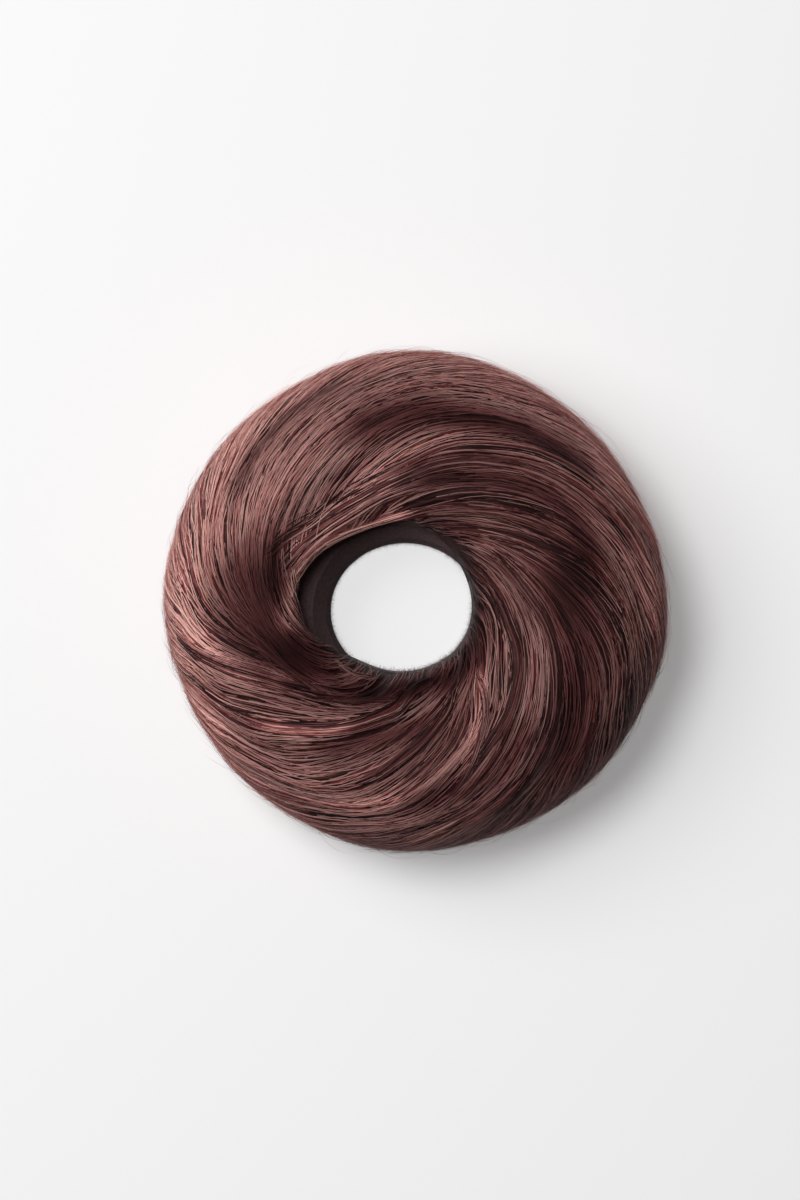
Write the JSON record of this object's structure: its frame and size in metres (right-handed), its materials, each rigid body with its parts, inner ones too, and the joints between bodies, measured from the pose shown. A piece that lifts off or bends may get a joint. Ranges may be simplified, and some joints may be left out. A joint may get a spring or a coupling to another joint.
{
  "type": "top knot hairpiece",
  "caption": "Ring-shaped top knot hairpiece: hair wound in swirling locks over a padded core, open in the middle for the wearer's own hair.",
  "frame": {"origin": "on the surface that the ring lies on, below the middle of its outline", "axes": "+Z points up out of the crown of the ring, +Y is up and +X is right in the picture, which looks straight down"},
  "size_m": [0.0996, 0.0992, 0.0369],
  "materials": {
    "hair": "satin dark red-brown hair, finely stranded",
    "core": "matt dark brown padding"
  },
  "bodies": {
    "root": {"hair_ring": "hair", "core_ring": "core"}
  },
  "joints": []
}
